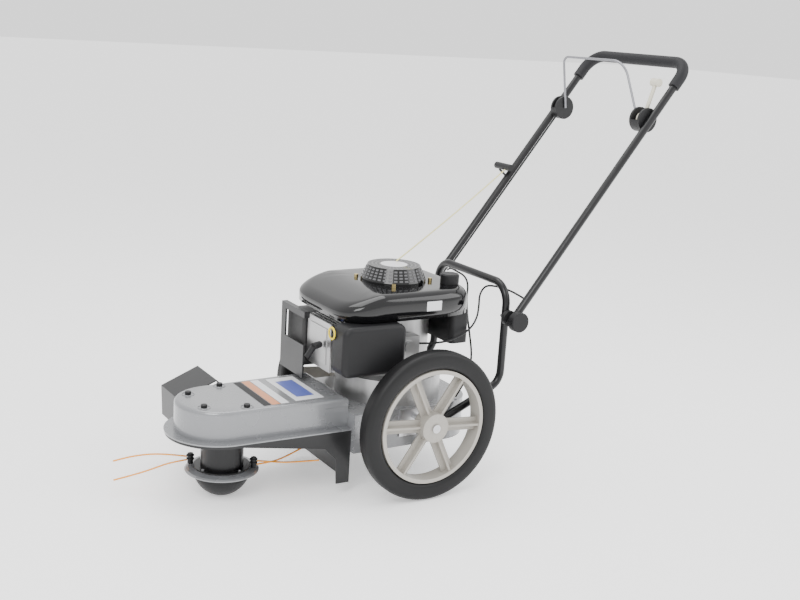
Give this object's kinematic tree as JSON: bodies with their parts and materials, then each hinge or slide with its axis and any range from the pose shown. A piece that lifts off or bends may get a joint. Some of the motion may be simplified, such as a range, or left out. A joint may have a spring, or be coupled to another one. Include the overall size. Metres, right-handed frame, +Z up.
{
  "type": "brush mower",
  "caption": "Walk-behind high-wheel string mower with a front cutting head, vertical-shaft engine and folding handle.",
  "frame": {"origin": "on the ground at the foot of the cutting head spindle axis", "axes": "+X forward towards the cutting head, +Y operator left, +Z up"},
  "size_m": [1.3769, 0.4895, 1.0255],
  "materials": {
    "deck_paint": "semi-gloss",
    "black_steel": "semi-gloss",
    "rubber": "matte",
    "tyre": "matte",
    "rim_plastic": "satin",
    "gloss_black": "gloss",
    "matte_black": "matte",
    "knob_black": "matte",
    "cream_plastic": "satin",
    "engine_alloy": "cast",
    "bare_steel": "brushed",
    "zinc_gold": "plated",
    "black_bolt": "matte",
    "flywheel_iron": "cast",
    "belt_rubber": "matte",
    "line_orange": "gloss",
    "rope": "woven"
  },
  "bodies": {
    "root": {"air_cleaner_base": "matte_black", "air_cleaner_cover": "matte_black", "axle": "bare_steel", "axle_brackets": "bare_steel", "carburettor": "engine_alloy", "cylinder_head": "engine_alloy", "debris_guard": "black_steel", "deck_shell": "deck_paint", "deck_skirt": "black_steel", "drive_belt": "belt_rubber", "drive_cable": "belt_rubber", "engine_block": "engine_alloy", "engine_shroud": "gloss_black", "fuel_tank": "matte_black", "housing_bolts": "black_bolt", "knuckle_left": "matte_black", "knuckle_right": "matte_black", "lower_handle": "black_steel", "muffler": "bare_steel", "muffler_guard": "black_steel", "plug_boot": "rubber", "push_nuts": "bare_steel", "recoil_bolts": "zinc_gold", "recoil_cover": "gloss_black", "spindle_housing": "bare_steel", "starter_rope": "rope", "throttle_cable": "belt_rubber"},
    "wheel_left": {"rim_left": "rim_plastic", "tyre_left": "tyre"},
    "wheel_right": {"rim_right": "rim_plastic", "tyre_right": "tyre"},
    "crank": {"crankshaft": "bare_steel", "flywheel": "flywheel_iron", "engine_pulley": "bare_steel"},
    "head": {"spindle_shaft": "bare_steel", "head_pulley": "bare_steel", "line_disc": "deck_paint", "head_drum": "black_steel", "drum_screws": "bare_steel", "line_posts": "matte_black", "trimmer_line_1": "line_orange", "trimmer_line_2": "line_orange", "trimmer_line_3": "line_orange", "trimmer_line_4": "line_orange"},
    "ball": {"ground_ball": "matte_black"},
    "upper_handle": {"upper_handle": "black_steel", "foam_grip": "rubber", "knuckle_outer_left": "matte_black", "knuckle_outer_right": "matte_black", "lever_housing_left": "matte_black", "lever_housing_right": "matte_black", "rope_guide": "black_steel", "cable_left": "belt_rubber", "cable_right": "belt_rubber"},
    "knob_left": {"fold_knob_left": "knob_black"},
    "knob_right": {"fold_knob_right": "knob_black"},
    "bail": {"bail": "bare_steel"},
    "control": {"control_lever": "cream_plastic"},
    "cap": {"fuel_cap": "matte_black"},
    "pull": {"pull_handle": "matte_black"}
  },
  "joints": [
    {"name": "wheel_left_spin", "type": "hinge", "parent": "root", "child": "wheel_left", "pos_m": [-0.4174, 0, 0.178], "axis": [0, 1, 0], "continuous": true},
    {"name": "wheel_right_spin", "type": "hinge", "parent": "root", "child": "wheel_right", "pos_m": [-0.4174, 0, 0.178], "axis": [0, 1, 0], "continuous": true},
    {"name": "crank_spin", "type": "hinge", "parent": "root", "child": "crank", "pos_m": [-0.427, 0, 0.2], "axis": [0, 0, 1], "continuous": true},
    {"name": "head_spin", "type": "hinge", "parent": "root", "child": "head", "pos_m": [0, 0, 0.1], "axis": [0, 0, 1], "continuous": true},
    {"name": "ball_spin", "type": "hinge", "parent": "root", "child": "ball", "pos_m": [0, 0, 0.02], "axis": [0, 0, 1], "continuous": true},
    {"name": "handle_fold", "type": "hinge", "parent": "root", "child": "upper_handle", "pos_m": [-0.657, 0, 0.398], "axis": [0, 1, 0], "range_deg": [-15, 95]},
    {"name": "knob_left_turn", "type": "hinge", "parent": "upper_handle", "child": "knob_left", "pos_m": [-0.657, 0, 0.398], "axis": [0, 1, 0], "range_deg": [-180, 180]},
    {"name": "knob_right_turn", "type": "hinge", "parent": "upper_handle", "child": "knob_right", "pos_m": [-0.657, 0, 0.398], "axis": [0, 1, 0], "range_deg": [-180, 180]},
    {"name": "bail_squeeze", "type": "hinge", "parent": "upper_handle", "child": "bail", "pos_m": [-1.02643, 0, 0.87078], "axis": [0, -1, 0], "range_deg": [0, 28], "stiffness_Nm_per_rad": 1.2, "springref_deg": -34.38},
    {"name": "control_lever_swing", "type": "hinge", "parent": "upper_handle", "child": "control", "pos_m": [-1.02643, 0, 0.87078], "axis": [0, 1, 0], "range_deg": [0, 50]},
    {"name": "fuel_cap_turn", "type": "hinge", "parent": "root", "child": "cap", "pos_m": [-0.538, 0.076, 0.48], "axis": [0, 0, 1], "range_deg": [-180, 180]},
    {"name": "starter_pull", "type": "slide", "parent": "upper_handle", "child": "pull", "axis": [-0.6157, 0, 0.788], "range_m": [0, 0.15]}
  ],
  "couplings": [
    {"joint": "head_spin", "follows": "crank_spin", "ratio": 0.78947}
  ]
}
